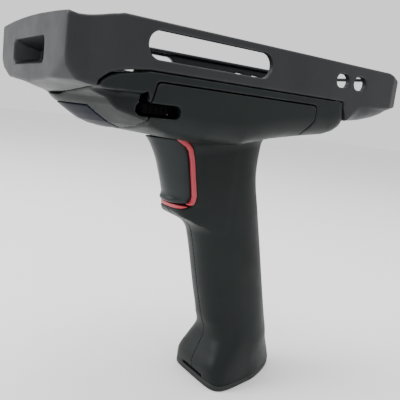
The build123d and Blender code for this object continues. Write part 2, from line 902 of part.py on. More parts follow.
# ---------------------------------------------------------------- base cap
plug_inset = shell_wall + 2.2
plug_height = 2.4
post_depth = 3.6
post_rise = 4.0
with BuildPart() as base_cap:
    with BuildSketch() as sole:
        with BuildLine():
            Spline(*grip_outline(*grip_sections[0][1:], 0.0), periodic=True)
        make_face()
    extrude(sole.sketch, amount=foot_height)
    with BuildSketch(Plane.XY.offset(foot_height)) as plug:
        with BuildLine():
            Spline(*grip_outline(*grip_sections[0][1:], plug_inset), periodic=True)
        make_face()
    extrude(plug.sketch, amount=plug_height)
    box_between((-30, 0, foot_height), (30, lanyard_y[1], 20), mode=Mode.SUBTRACT)
    box_between(
        (-post_half_width, post_y - post_depth, foot_height),
        (post_half_width, post_y + post_depth, post_z + post_rise),
    )
    rod_x(post_y, post_z, screw_radius, -20, 20, mode=Mode.SUBTRACT)
    box_between(
        (-lanyard_half_width, lanyard_y[0], -1),
        (lanyard_half_width, lanyard_y[1], foot_height + 1),
        mode=Mode.SUBTRACT,
    )
finish(base_cap, "base_cap")
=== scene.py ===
"""Pistol-grip scan handle with an open protective boot, in a plain studio.

The moulded skins are closed meshes of rounded solids, each worked out as a signed distance in
millimetres (negative inside) in the frame's own axes: X across, -Y the nose, Z up. The mechanism,
contacts, screws, pads and catches are the frame's own nodes, given new materials.
"""

import math

import bpy
import numpy as np
from mathutils import Matrix, Vector


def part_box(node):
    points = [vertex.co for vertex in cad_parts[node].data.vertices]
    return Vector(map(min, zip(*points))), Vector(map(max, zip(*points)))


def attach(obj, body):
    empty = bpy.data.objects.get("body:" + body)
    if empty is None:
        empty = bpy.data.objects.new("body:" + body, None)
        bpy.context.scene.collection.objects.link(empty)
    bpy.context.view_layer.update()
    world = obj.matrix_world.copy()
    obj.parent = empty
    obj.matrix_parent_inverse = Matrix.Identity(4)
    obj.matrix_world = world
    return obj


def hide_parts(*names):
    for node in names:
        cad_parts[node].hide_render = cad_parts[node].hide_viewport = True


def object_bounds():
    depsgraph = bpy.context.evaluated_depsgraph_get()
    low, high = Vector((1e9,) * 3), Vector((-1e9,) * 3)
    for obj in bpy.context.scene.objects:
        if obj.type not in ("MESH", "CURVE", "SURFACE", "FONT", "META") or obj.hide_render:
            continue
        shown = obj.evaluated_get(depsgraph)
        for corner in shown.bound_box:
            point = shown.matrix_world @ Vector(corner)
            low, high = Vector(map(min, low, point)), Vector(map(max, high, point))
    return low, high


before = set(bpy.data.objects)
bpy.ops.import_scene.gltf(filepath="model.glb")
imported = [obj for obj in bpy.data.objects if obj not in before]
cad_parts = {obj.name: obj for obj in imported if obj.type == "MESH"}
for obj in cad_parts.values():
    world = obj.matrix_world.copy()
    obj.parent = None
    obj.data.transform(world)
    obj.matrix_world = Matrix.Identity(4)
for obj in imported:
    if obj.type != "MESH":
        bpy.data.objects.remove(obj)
cad_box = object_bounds()

MM = 0.001
CELL = 0.55


def box_mm(node):
    """Lowest and highest corner of a frame node, in millimetres."""
    low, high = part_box(node)
    return [v / MM for v in low], [v / MM for v in high]


# ---------------------------------------------------------------- driving dimensions, mm
(_, NOSE_Y, _), (HALF_WIDTH, TAIL_Y, RIM_Z) = box_mm("boot_frame")
DECK_TOP_Z = box_mm("sled_tray")[1][2]
SADDLE_TOP_Z = box_mm("grip_shell_left")[1][2]
FOOT_Z = box_mm("grip_shell_left")[0][2]
SADDLE_LOW_Z = 127.4
PARTING_Z = 152.5
LIP_Z = 168.2
BAY = (38.0, -80.0, 84.0)
LIP = 2.0
WALL = 3.0
SHELL_WALL = 2.5
HULL_ROUND = 10.0
WINDOW = (19.8, 150.4, 160.8)
TAIL_WINDOW = (20.0, 156.2, 166.6)
SIDE_SLOT = (-60.2, -1.5, 156.6, 166.8)
TAIL_HOLES_Y = (42.9, 55.0)
TAIL_HOLE = (8.7, 6.2, 161.9)
CATCH_SLOT = (-61.0, -44.2, 136.0, 141.0)
CHIN_HALF_WIDTH = 17.0
TRIGGER_HALF_WIDTH = 11.0
TRIGGER_MIDDLE_Y = -12.5
BEZEL_INNER = 11.7
BLOCK_HALF_WIDTH = 13.3
BOW_SWEEP = 0.42
BOW_ROUND = 6.0
SCREW_POINTS = ((33.0, 15.0), (24.0, 52.0), (16.0, 88.0), (18.0, 118.0))
SCREW_HEAD_ROOM = 2.8
SCREW_BOSS = 4.2
# x either side, rows in y, head room, height of the counterbore floor
SADDLE_SCREWS = (24.0, (-40.0, 12.0), 2.7, 150.2)
# y, z and radius of the bore for the trigger pin
PIVOT = (-15.5, 121.5, 1.05)
BOW_SCALE = 0.94
BOW_EDGE = 1.2
SEAM_EDGE = 0.3
BOOT_EDGE = 0.9
# Extra rounding of the tail's lower edge, from and to in y, then in -z
TAIL_ROUND = (8.0, 46.0, 60.0, -155.0, -151.0)
# Fall of the nose's top edge at the sides, from and to in -y, then in z
NOSE_CROWN = (1.3, 72.0, 84.0, 157.0, 163.0)
# Swell of the nose face across the width, and its edge radius
NOSE_SWELL = (0.6, 1.1)
# Edge radius of the hull's top, and how much it grows over the front shoulder
SHOULDER = (0.4, 1.2)
SHOULDER_Y = (-79.0, -74.0, -63.0, -57.0)
# Slope of the nose window's walls, and how deep it runs
WINDOW_SLOPE = (0.32, 11.0)
CATCH_DEEP = 33.0
NOTCH_DEPTH = 1.4
TAB_SLOT = ((29.7, -60.3, 140.0), (40.0, -57.7, 156.0))
CONTACT_WELL = ((-12.1, -38.1, 140.0), (12.1, -29.9, 156.0))
SEAM_LIP = ((36.5, -63.6, 151.0), (37.8, 43.2, 153.8))
LANYARD_Y = (8.6, 13.4)
POST = ((-4.0, 29.4, 2.0), (4.0, 36.6, 19.0))

# Side-view outlines as (y, z) or (y, z, corner radius)
BOOT_SIDE = (
    (NOSE_Y, 141.3), (NOSE_Y, 168.6, 0.8), (-86.0, 168.0, 3.0), (-78.0, 168.7, 3.0), (-72.5, 169.4, 1.5),
    (-70.4, RIM_Z, 1.0), (77.0, RIM_Z, 3.0), (89.2, 166.9, 2.0), (TAIL_Y, 165.0, 2.0), (90.2, 153.3, 1.2),
    (87.5, 152.6, 1.5), (83.8, 150.2, 2.0), (74.6, 147.1, 4.0), (66.0, 145.1, 5.0), (60.0, 144.3, 4.0),
    (50.0, 143.7, 1.2), (46.2, 149.4, 0.6), (45.6, PARTING_Z, 0.6), (-59.0, PARTING_Z, 8.0),
    (-66.0, 151.7, 3.0),
    (-70.7, 150.8, 3.0), (-74.2, 149.5, 2.0), (-75.9, 148.2, 1.5), (-77.5, 146.6, 1.5), (-78.3, 144.0, 2.0),
    (-79.2, 141.3, 1.2),
)
# Bow under the nose at the centre line, swept back at the sides
BOW = (
    (-105.1, 190.0), (-105.1, 153.4, 3.0), (-103.5, 149.6, 3.0), (-99.2, 145.6, 3.0), (-91.0, 144.2, 3.0),
    (-81.3, 141.2, 2.0), (-79.0, 139.0, 2.0), (-75.4, 136.5, 3.0), (-71.7, 134.1, 3.0), (-67.9, 131.9, 3.0),
    (-64.2, 130.6, 3.0), (-60.3, 129.3), (-50.0, 120.0), (110.0, 120.0), (110.0, 190.0),
)
NOSE_POCKET = ((-88.0, 149.4), (-88.0, 147.4), (-84.6, 146.8), (-80.5, 147.2), (-78.6, 149.4))
SLED_TOP = (
    (-95.0, 100.0), (-95.0, 140.8), (-78.7, 140.8, 1.2), (-77.8, 144.0, 2.0), (-77.0, 146.3, 1.5),
    (-75.5, 147.7, 1.5), (-73.9, 148.9, 2.0), (-70.6, 150.2, 3.0), (-66.0, 151.1, 3.0),
    (-58.9, DECK_TOP_Z, 8.0),
    (45.2, DECK_TOP_Z, 0.6), (45.8, 149.1, 0.6), (49.6, 143.2, 1.0), (50.2, 141.2, 1.0), (49.2, 100.0),
)
SLED_LOW = (
    (-110.0, 190.0), (-110.0, 129.3), (-20.0, 129.3, 20.0), (10.0, 131.9, 12.0), (28.0, 134.4, 12.0),
    (41.0, 136.0, 6.0), (46.0, 137.4, 3.0), (49.5, 139.4, 3.0), (52.0, 143.0), (52.0, 190.0),
)
SADDLE_POCKET = (
    (-55.3, 149.1, 2.0), (28.2, 149.1, 2.0), (28.2, 141.9, 2.5), (24.6, 136.7, 2.0), (24.6, 100.0),
    (-57.3, 100.0), (-57.3, 140.8, 3.0),
)
SADDLE_TOP = (
    (-54.8, SADDLE_TOP_Z, 2.0), (27.7, SADDLE_TOP_Z, 2.0), (27.7, 142.1, 2.5), (24.1, 136.9, 2.0),
    (24.1, 90.0),
    (-56.8, 90.0), (-56.8, 140.9, 3.0),
)
SADDLE_LOW = (
    (-80.0, 190.0), (-80.0, 131.4), (-56.9, 129.5, 12.0), (-30.0, SADDLE_LOW_Z, 20.0),
    (-10.0, SADDLE_LOW_Z, 10.0),
    (8.0, 131.5, 12.0), (24.2, 133.9, 8.0), (60.0, 139.0), (60.0, 190.0),
)
FRONT_HOLLOW = (
    (-74.6, 139.9), (-70.4, 149.1), (-50.0, 149.1), (-50.0, 132.2), (-58.0, 132.2), (-63.6, 133.0),
    (-67.6, 135.0), (-71.6, 137.6),
)
REAR_HOLLOW = ((24.0, 136.6), (39.6, 138.6), (43.6, 140.4), (46.0, 143.4), (43.6, 149.1), (24.0, 149.1))
CHIN = (
    (-77.2, 137.6, 0.4), (-75.4, 136.4, 3.0), (-71.7, 134.0, 3.0), (-67.9, 131.8, 3.0), (-64.2, 130.5, 3.0),
    (-62.2, 129.9, 0.4), (-62.2, 132.2), (-66.9, 133.7), (-70.6, 135.8), (-74.2, 138.3),
)
CHIN_OPENING = (
    (-80.0, 137.2), (-80.0, 128.0), (-61.9, 128.0), (-61.9, 132.5), (-66.8, 134.0), (-70.4, 136.2),
    (-74.0, 138.65),
)
BLOCK = (
    (4.0, 129.0), (-25.9, 128.7), (-20.1, 125.5, 1.5), (-18.0, 123.1, 2.0), (-16.4, 118.3, 8.0),
    (-13.1, 101.2, 3.0), (-13.6, 98.1, 1.5), (-15.4, 96.2, 1.5), (-18.2, 94.7, 2.0), (-20.4, 94.0, 0.5),
    (-20.6, 92.8, 0.8), (-17.8, 90.4, 5.0), (-9.2, 86.6, 6.0), (4.0, 84.0),
)
# Middle of the ring round the trigger, closed well in front of it
RING = (
    (-26.4, 127.8), (-20.8, 124.6, 2.0), (-19.0, 122.6, 3.0), (-17.5, 118.1, 8.0), (-14.2, 101.2, 4.0),
    (-14.6, 98.6, 2.0), (-16.1, 97.1, 2.0), (-18.6, 95.7, 3.0), (-21.5, 94.9), (-60.0, 85.0), (-60.0, 145.0),
)
RING_WIDTH = 2.2
LEDGE_Y = (-20.6, 8.6)
LEDGE_Z = (96.3, 99.5)
SCOOP_Y = (-66.0, -57.0)
SCOOP_X = (31.5, 41.2)
SCOOP_Z = (131.0, 144.2)
NOTCH = ((-63.8, 142.6, 0.4), (-57.6, 142.6, 0.4), (-58.6, 145.2, 0.4))

# Grip sections: height, front y, rear y, half width, front and rear roundness, taper to the rear
GRIP = (
    (3.1, 5.8, 59.6, 17.0, 5.4, 1.7, 0.34),
    (10.0, 5.2, 57.0, 17.0, 4.6, 1.75, 0.28),
    (18.0, 8.4, 53.2, 17.0, 3.6, 1.85, 0.16),
    (25.0, 10.8, 50.4, 16.9, 2.7, 2.0, 0.08),
    (34.0, 7.9, 47.2, 16.7, 2.3, 2.1, 0.02),
    (50.0, 3.2, 42.6, 16.6, 2.2, 2.2, 0.0),
    (72.0, -2.4, 37.1, 16.6, 2.2, 2.2, 0.0),
    (92.0, -8.0, 31.7, 16.6, 2.3, 2.3, 0.0),
    (112.0, -11.0, 26.9, 16.6, 2.4, 2.3, 0.0),
    (131.0, -12.0, 27.2, 17.4, 2.4, 2.3, 0.0),
)
# Front edge of the trigger: height, y
TRIGGER = (
    (96.6, -23.2), (98.0, -23.6), (99.8, -23.0), (103.6, -23.9), (107.4, -25.2), (111.2, -26.6),
    (114.9, -28.0),
    (118.6, -29.7), (122.2, -31.8), (125.0, -33.8), (127.4, -36.2),
)
TRIGGER_REAR = (
    (-60.0, 90.0), (-16.0, 90.0), (-15.0, 96.6, 1.0), (-12.8, 100.0, 2.0), (-12.4, 105.0), (-12.0, 110.0),
    (-11.4, 120.0, 2.0), (-12.6, 124.0, 2.0), (-17.0, 127.0), (-60.0, 130.0),
)


# ---------------------------------------------------------------- signed distances
def outline(points, steps=5):
    """Corner list with each corner that has a radius replaced by an arc."""
    corners = [np.array(p[:2], float) for p in points]
    count = len(corners)
    result = []
    for i, point in enumerate(points):
        if len(point) < 3:
            result.append(corners[i])
            continue
        back = corners[i - 1] - corners[i]
        ahead = corners[(i + 1) % count] - corners[i]
        back_length = np.linalg.norm(back)
        ahead_length = np.linalg.norm(ahead)
        back = back / back_length
        ahead = ahead / ahead_length
        half = math.acos(float(np.clip(back @ ahead, -1, 1))) / 2
        reach = min(point[2] / math.tan(half), 0.48 * back_length, 0.48 * ahead_length)
        for step in range(steps + 1):
            t = step / steps
            start = corners[i] + back * reach
            end = corners[i] + ahead * reach
            result.append((1 - t) ** 2 * start + 2 * t * (1 - t) * corners[i] + t ** 2 * end)
    return np.array(result)


def polygon(u, v, points):
    """Signed distance to a closed polygon in a plane."""
    nearest = np.full(u.shape, 1e9, dtype=u.dtype)
    inside = np.zeros(u.shape, bool)
    for (u0, v0), (u1, v1) in zip(points, np.roll(points, -1, axis=0)):
        du = u1 - u0
        dv = v1 - v0
        length = du * du + dv * dv
        if length < 1e-12:
            continue
        pu = u - u0
        pv = v - v0
        t = np.clip((pu * du + pv * dv) / length, 0, 1)
        nearest = np.minimum(nearest, (pu - t * du) ** 2 + (pv - t * dv) ** 2)
        if dv != 0:
            inside ^= ((v0 <= v) != (v1 <= v)) & (pu < pv * du / dv)
    return np.where(inside, -1, 1) * np.sqrt(nearest)


class Plate:
    """A polygon's signed distance, tabled once so that it can be read at many points."""

    STEP = 0.2
    MARGIN = 14.0

    def __init__(self, points):
        self.points = outline(points)
        self.low = self.points.min(axis=0) - self.MARGIN
        high = self.points.max(axis=0) + self.MARGIN
        self.count = np.ceil((high - self.low) / self.STEP).astype(int) + 2
        u = self.low[0] + self.STEP * np.arange(self.count[0])
        v = self.low[1] + self.STEP * np.arange(self.count[1])
        u, v = np.meshgrid(u, v, indexing="ij")
        self.table = polygon(u, v, self.points)

    def __call__(self, u, v):
        a = np.clip((u - self.low[0]) / self.STEP, 0, self.count[0] - 1.001)
        b = np.clip((v - self.low[1]) / self.STEP, 0, self.count[1] - 1.001)
        i = a.astype(int)
        j = b.astype(int)
        a = a - i
        b = b - j
        table = self.table
        return ((1 - a) * ((1 - b) * table[i, j] + b * table[i, j + 1])
                + a * ((1 - b) * table[i + 1, j] + b * table[i + 1, j + 1]))


def round_max(a, b, radius):
    """Common part of two solids, its edge rounded to the radius."""
    a = a + radius
    b = b + radius
    return np.minimum(np.maximum(a, b), 0) + np.hypot(np.maximum(a, 0), np.maximum(b, 0)) - radius


def round_min(a, b, radius):
    """Two solids joined, with a fillet of the radius where they meet."""
    return -round_max(-a, -b, radius)


def cut(solid, tool, radius=0.4):
    """A solid less a tool, the rim rounded to the radius."""
    return round_max(solid, -tool, radius)


def block(x, y, z, low, high, radius=0.0):
    """Box between two corners, with rounded edges."""
    q = [np.abs(p - (a + b) / 2) - (b - a) / 2 + radius for p, a, b in zip((x, y, z), low, high)]
    outside = np.sqrt(sum(np.maximum(v, 0) ** 2 for v in q))
    return outside + np.minimum(np.maximum(np.maximum(q[0], q[1]), q[2]), 0) - radius


def rounded_rectangle(u, v, low, high, radius):
    """Rectangle with rounded corners in a plane."""
    a = np.abs(u - (low[0] + high[0]) / 2) - (high[0] - low[0]) / 2 + radius
    b = np.abs(v - (low[1] + high[1]) / 2) - (high[1] - low[1]) / 2 + radius
    return np.minimum(np.maximum(a, b), 0) + np.hypot(np.maximum(a, 0), np.maximum(b, 0)) - radius


def smooth_step(value, start, end):
    """0 before start, 1 after end, smooth between."""
    t = np.clip((value - start) / (end - start), 0, 1)
    return t * t * (3 - 2 * t)


def natural_curve(heights, values, z):
    """Smooth cubic curve through the values, read at z."""
    heights = np.array(heights, float)
    values = np.array(values, float)
    slope = np.gradient(values, heights)
    z = np.clip(z, heights[0], heights[-1])
    i = np.clip(np.searchsorted(heights, z) - 1, 0, len(heights) - 2)
    span = heights[i + 1] - heights[i]
    t = (z - heights[i]) / span
    return ((2 * t ** 3 - 3 * t ** 2 + 1) * values[i] + (t ** 3 - 2 * t ** 2 + t) * span * slope[i]
            + (3 * t ** 2 - 2 * t ** 3) * values[i + 1] + (t ** 3 - t ** 2) * span * slope[i + 1])


def column(x, y, z, front, rear, width, round_front, round_rear, taper):
    """Upright solid whose section is a superellipse between front and rear."""
    middle = (front + rear) / 2
    depth = (rear - front) / 2
    s = (y - middle) / depth
    power = np.where(s > 0, round_rear, round_front)
    across = np.abs(x) / (width * np.maximum(1 - taper * np.clip(s, -1.2, 1.2), 0.2))
    along = np.abs(s)
    level = (across ** power + along ** power) ** (1 / power)
    safe = np.maximum(level, 1e-3)
    slope_x = (across / safe) ** (power - 1) / width
    slope_y = (along / safe) ** (power - 1) / depth
    return (level - 1) / np.maximum(np.hypot(slope_x, slope_y), 0.5 / np.maximum(width, depth))


GRIP_HEIGHTS = [s[0] for s in GRIP]
TRIGGER_HEIGHTS = [s[0] for s in TRIGGER]


def grip_column(x, y, z):
    """The grip from the foot up into the saddle."""
    values = [natural_curve(GRIP_HEIGHTS, [s[k] for s in GRIP], z) for k in range(1, 7)]
    return column(x, y, z, *values)


def hull(x, y, z, low_plate, top_plate):
    """Body as wide as the object, rounded along its lower corners and softly at its front shoulder."""
    body = round_max(low_plate(y, z), np.abs(x) - HALF_WIDTH, HULL_ROUND)
    near_shoulder = smooth_step(-y, -SHOULDER_Y[3], -SHOULDER_Y[2]) * smooth_step(y, *SHOULDER_Y[:2])
    return round_max(body, top_plate(y, z), SHOULDER[0] + SHOULDER[1] * near_shoulder)


def hollow_limit(x, y, z, low_plate):
    """Inside of the hull's walls."""
    return round_max(low_plate(y, z) + SHELL_WALL, np.abs(x) - HALF_WIDTH + WALL, HULL_ROUND - WALL)


boot_side = Plate(BOOT_SIDE)
bow_plate = Plate(BOW)
nose_pocket = Plate(NOSE_POCKET)
sled_top = Plate(SLED_TOP)
sled_low = Plate(SLED_LOW)
saddle_pocket = Plate(SADDLE_POCKET)
saddle_top = Plate(SADDLE_TOP)
saddle_low = Plate(SADDLE_LOW)
front_hollow = Plate(FRONT_HOLLOW)
rear_hollow = Plate(REAR_HOLLOW)
chin_plate = Plate(CHIN)
chin_opening = Plate(CHIN_OPENING)
block_plate = Plate(BLOCK)
notch_plate = Plate(NOTCH)
ring_plate = Plate(RING)
front_air = Plate(((-60.0, 70.0), (-60.0, SADDLE_LOW_Z - 0.1), (-24.6, SADDLE_LOW_Z - 0.1)) + BLOCK[2:12]
                  + ((-9.2, 70.0),))
trigger_rear = Plate(TRIGGER_REAR)
BOOT_PLAN = Plate((
    (-60.0, -95.0), (41.0, -95.0), (41.0, -90.2, 1.0), (39.9, -87.0, 3.0), (39.5, -82.0, 6.0),
    (41.0, -72.5, 10.0),
    (41.0, 80.0, 6.0), (38.6, 87.2, 4.0), (32.0, TAIL_Y, 3.0), (-60.0, TAIL_Y),
))


def swept(x, y):
    """Where on the centre line a point of the bow belongs."""
    return y - BOW_SWEEP * (np.hypot(x, BOW_ROUND) - BOW_ROUND)


def bow(x, y, z):
    """Everything above and behind the swept underside of the nose."""
    return BOW_SCALE * bow_plate(swept(x, y), z)


def boot(x, y, z):
    """Open frame round the device bay."""
    ax = np.abs(x)
    crown = NOSE_CROWN[0] * (ax / HALF_WIDTH) ** 2
    crown = crown * smooth_step(-y, *NOSE_CROWN[1:3]) * smooth_step(z, *NOSE_CROWN[3:])
    edge = BOOT_EDGE + TAIL_ROUND[0] * smooth_step(y, *TAIL_ROUND[1:3]) * smooth_step(-z, *TAIL_ROUND[3:])
    solid = round_max(boot_side(y, z + crown), BOOT_PLAN(ax, y), edge)
    face = NOSE_Y + NOSE_SWELL[0] * (ax / HALF_WIDTH) ** 2 - y
    solid = round_max(solid, face, NOSE_SWELL[1])
    solid = round_max(solid, bow(x, y, z), BOW_EDGE)
    bay = np.maximum(rounded_rectangle(x, y, (-BAY[0], BAY[1]), (BAY[0], BAY[2]), 4.0),
                     np.maximum(152.2 - z, z - LIP_Z))
    mouth = np.maximum(
        rounded_rectangle(x, y, (-BAY[0] + LIP, BAY[1] + LIP), (BAY[0] - LIP, BAY[2] - LIP), 8.0), 160.0 - z)
    floor_gap = block(x, y, z, (-BAY[0], -64.0, 130.0), (BAY[0], 43.5, 158.0))
    solid = cut(solid, bay, 0.3)
    solid = cut(solid, mouth, 0.8)
    solid = cut(solid, floor_gap, 0.3)
    solid = cut(solid, np.maximum(nose_pocket(y, z), ax - 22.0), 0.3)
    # nose window with sloped walls
    flare = WINDOW_SLOPE[0] * np.clip(y - NOSE_Y, 0, WINDOW_SLOPE[1])
    window = rounded_rectangle(x, z, (-WINDOW[0], WINDOW[1]), (WINDOW[0], WINDOW[2]), 3.2) + flare
    solid = cut(solid, np.maximum(window, y + 77.0), 0.7)
    tail = rounded_rectangle(x, z, (-TAIL_WINDOW[0], TAIL_WINDOW[1]), (TAIL_WINDOW[0], TAIL_WINDOW[2]), 3.0)
    solid = cut(solid, np.maximum(tail, 78.0 - y), 0.7)
    slot = rounded_rectangle(y, z, (SIDE_SLOT[0], SIDE_SLOT[2]), (SIDE_SLOT[1], SIDE_SLOT[3]), 5.0)
    solid = cut(solid, slot, 0.6)
    for hole_y in TAIL_HOLES_Y:
        low = (hole_y - TAIL_HOLE[0] / 2, TAIL_HOLE[2] - TAIL_HOLE[1] / 2)
        high = (hole_y + TAIL_HOLE[0] / 2, TAIL_HOLE[2] + TAIL_HOLE[1] / 2)
        solid = cut(solid, rounded_rectangle(y, z, low, high, 2.9), 0.5)
    return solid


def scoop_floor(y):
    """How far out the floor of the finger scoop lies."""
    share = np.clip((y - SCOOP_Y[0]) / (SCOOP_Y[1] - SCOOP_Y[0]), 0, 1.4)
    return SCOOP_X[0] + (SCOOP_X[1] - SCOOP_X[0]) * share


def scoop(x, y, z):
    """Room for a fingertip in front of the catch, sloping out towards it."""
    floor = 0.7 * (scoop_floor(y) - np.abs(x))
    return round_max(floor, np.maximum(z - SCOOP_Z[1], SCOOP_Z[0] - z), 2.0)


def sled(x, y, z):
    """Deck and lower hull between the boot and the saddle."""
    ax = np.abs(x)
    solid = hull(x, y, z, sled_low, sled_top)
    solid = round_max(solid, bow(x, y, z), BOW_EDGE)
    solid = cut(solid, saddle_pocket(y, z), 0.35)
    along = swept(x, y)
    inner = np.maximum(np.minimum(front_hollow(along, z), rear_hollow(y, z)), hollow_limit(x, y, z, sled_low))
    inner = np.maximum(inner, 0.7 * (ax - scoop_floor(y) + WALL))
    solid = cut(solid, inner, 0.3)
    solid = cut(solid, np.maximum(chin_opening(along, z), ax - CHIN_HALF_WIDTH - 0.3), 0.25)
    solid = cut(solid, scoop(x, y, z), 0.6)
    solid = cut(solid, np.maximum(notch_plate(y, z), HALF_WIDTH - NOTCH_DEPTH - ax), 0.3)
    slot = rounded_rectangle(y, z, (CATCH_SLOT[0], CATCH_SLOT[2]), (CATCH_SLOT[1], CATCH_SLOT[3]), 2.0)
    solid = cut(solid, np.maximum(slot, CATCH_DEEP - ax), 0.4)
    solid = cut(solid, block(ax, y, z, *TAB_SLOT), 0.2)
    solid = cut(solid, block(x, y, z, *CONTACT_WELL), 0.3)
    screw_x, screw_rows, head_room, head_z = SADDLE_SCREWS
    for screw_y in screw_rows:
        ring = np.hypot(ax - screw_x, y - screw_y)
        solid = cut(solid, np.maximum(ring - head_room, head_z - z), 0.2)
    # lip inside the boot's wall
    return np.minimum(solid, block(ax, y, z, *SEAM_LIP, SEAM_EDGE))


def chin(x, y, z):
    """Smooth cover let into the bow; its dark navy colour is partly painted shade and painted sky reflection.
    """
    return round_max(BOW_SCALE * chin_plate(swept(x, y), z), np.abs(x) - CHIN_HALF_WIDTH, 0.4)


def block_side(x, y, z):
    """Sides of the trigger block, drawn in to a rounded plan at the ledge."""
    plan = column(x, np.minimum(y, sum(LEDGE_Y) / 2), z, *LEDGE_Y, BLOCK_HALF_WIDTH, 3.0, 3.0, 0.0)
    return np.maximum(np.abs(x) - BLOCK_HALF_WIDTH, plan - 8.0 * smooth_step(z, *LEDGE_Z))


def grip_outer(x, y, z):
    """Saddle, neck, grip and trigger ledge as one outer form."""
    saddle = round_max(hull(x, y, z, saddle_low, saddle_top), bow(x, y, z), BOW_EDGE)
    neck = grip_column(x, y, z)
    ledge = round_max(block_plate(y, z), block_side(x, y, z), 1.5)
    grip = round_min(neck, ledge, 5.0)
    grip = np.maximum(grip, z - 140.0)
    return round_min(saddle, grip, 7.0)


def grip_shell(x, y, z, side):
    """One half of the grip: side is 1 for the left half, -1 for the right."""
    solid = grip_outer(x, y, z)
    solid = np.maximum(solid, z - SADDLE_TOP_Z)
    solid = cut(solid, front_air(y, z), 0.35)
    ax = np.abs(x)
    room = np.maximum(hollow_limit(x, y, z, saddle_low), np.maximum(y - 21.6, -60.0 - y))
    room = np.maximum(room, bow(x, y, z) + SHELL_WALL)
    column_room = grip_column(x, y, z) + SHELL_WALL
    well = block(x, y, z, (-BEZEL_INNER, -50.0, 96.0), (BEZEL_INNER, -9.4, SADDLE_LOW_Z))
    arm_room = block(x, y, z, (-5.0, -12.0, 115.0), (5.0, 2.0, SADDLE_LOW_Z + 5))
    for tool in (room, column_room, well, arm_room):
        solid = cut(solid, tool, 0.3)
    slot = rounded_rectangle(y, z, (CATCH_SLOT[0], CATCH_SLOT[2]), (CATCH_SLOT[1], CATCH_SLOT[3]), 2.0)
    solid = cut(solid, np.maximum(slot, CATCH_DEEP - ax), 0.4)
    solid = cut(solid, block(x, y, z, (-9.0, -5.0, -5.0), (9.0, LANYARD_Y[1], 4.9), 0.8), 0.5)
    solid = round_max(solid, FOOT_Z - z, 0.4)
    if side < 0:
        for screw_y, screw_z in SCREW_POINTS:
            ring = np.hypot(y - screw_y, z - screw_z)
            solid = np.minimum(solid, np.maximum(ring - SCREW_BOSS, np.maximum(x + 0.1, -x - 14.6)))
            solid = cut(solid, np.maximum(ring - SCREW_HEAD_ROOM, x + 9.8), 0.4)
    return round_max(solid, -side * x + 0.02, 0.12)


def left_shell(x, y, z):
    """Half of the grip on the user's left."""
    return grip_shell(x, y, z, 1)


def right_shell(x, y, z):
    """Half of the grip on the user's right, with the screw holes."""
    return grip_shell(x, y, z, -1)


def bezel(x, y, z):
    """Thin ring round the trigger, a touch proud of the shells."""
    outer = round_min(grip_column(x, y, z), block_side(x, y, z), 5.0)
    solid = round_max(outer - 0.1, np.abs(ring_plate(y, z)) - RING_WIDTH / 2, 0.4)
    inner = np.maximum(np.abs(x) - BEZEL_INNER, 95.9 - z)
    solid = cut(solid, inner, 0.3)
    return np.maximum(solid, z - SADDLE_LOW_Z + 0.15)


def trigger(x, y, z):
    """Finger lever, flared forward at the top, with a rear arm inside."""
    front = natural_curve(TRIGGER_HEIGHTS, [s[1] for s in TRIGGER], z)
    rear = 2 * TRIGGER_MIDDLE_Y - front
    solid = column(x, y, z, front, rear, TRIGGER_HALF_WIDTH, 2.1, 2.1, 0.0)
    solid = round_max(solid, trigger_rear(y, z), 0.6)
    solid = round_max(solid, 96.6 - z, 1.2)
    solid = round_max(solid, z - 126.8, 0.6)
    arm = block(x, y, z, (-4.0, -18.0, 118.6), (4.0, 9.2, 122.0), 0.3)
    solid = round_min(solid, arm, 0.5)
    pivot = np.hypot(y - PIVOT[0], z - PIVOT[1]) - PIVOT[2]
    return cut(solid, pivot, 0.2)


def cap(x, y, z):
    """Sole of the foot, with the lanyard slot."""
    values = GRIP[0][1:]
    solid = column(x, y, z, *values)
    solid = round_max(solid, z - 3.0, 0.5)
    solid = round_max(solid, -z, 0.5)
    plug = np.maximum(grip_column(x, y, z) + 4.7, np.maximum(z - 5.4, 2.0 - z))
    solid = np.minimum(solid, np.maximum(plug, LANYARD_Y[1] - y))
    post = block(x, y, z, *POST, 0.4)
    post = cut(post, np.hypot(y - SCREW_POINTS[0][0], z - SCREW_POINTS[0][1]) - 1.25, 0.2)
    solid = np.minimum(solid, post)
    return cut(solid, block(x, y, z, (-9.0, LANYARD_Y[0], -5.0), (9.0, LANYARD_Y[1], 8.0), 1.6), 0.4)


# ---------------------------------------------------------------- meshing
def near_surface(field, low, step, counts):
    """The field on a grid, worked out only in the blocks that the surface may cross."""
    size = 8
    blocks = [-(-c // size) for c in counts]
    axes = [low[k] + step * (size * np.arange(blocks[k]) + (size - 1) / 2) for k in range(3)]
    centres = np.meshgrid(*axes, indexing="ij")
    coarse = field(*[c.ravel() for c in centres]).reshape(blocks)
    values = np.repeat(np.repeat(np.repeat(coarse, size, 0), size, 1), size, 2).astype(np.float32)
    near = np.argwhere(np.abs(coarse) < step * size * 1.5)
    offsets = np.stack(np.meshgrid(*[np.arange(size)] * 3, indexing="ij"), -1).reshape(-1, 3)
    for start in range(0, len(near), 600):
        index = (near[start:start + 600, None, :] * size + offsets[None]).reshape(-1, 3)
        x, y, z = (low[k] + step * index[:, k] for k in range(3))
        values[index[:, 0], index[:, 1], index[:, 2]] = field(x, y, z)
    return values


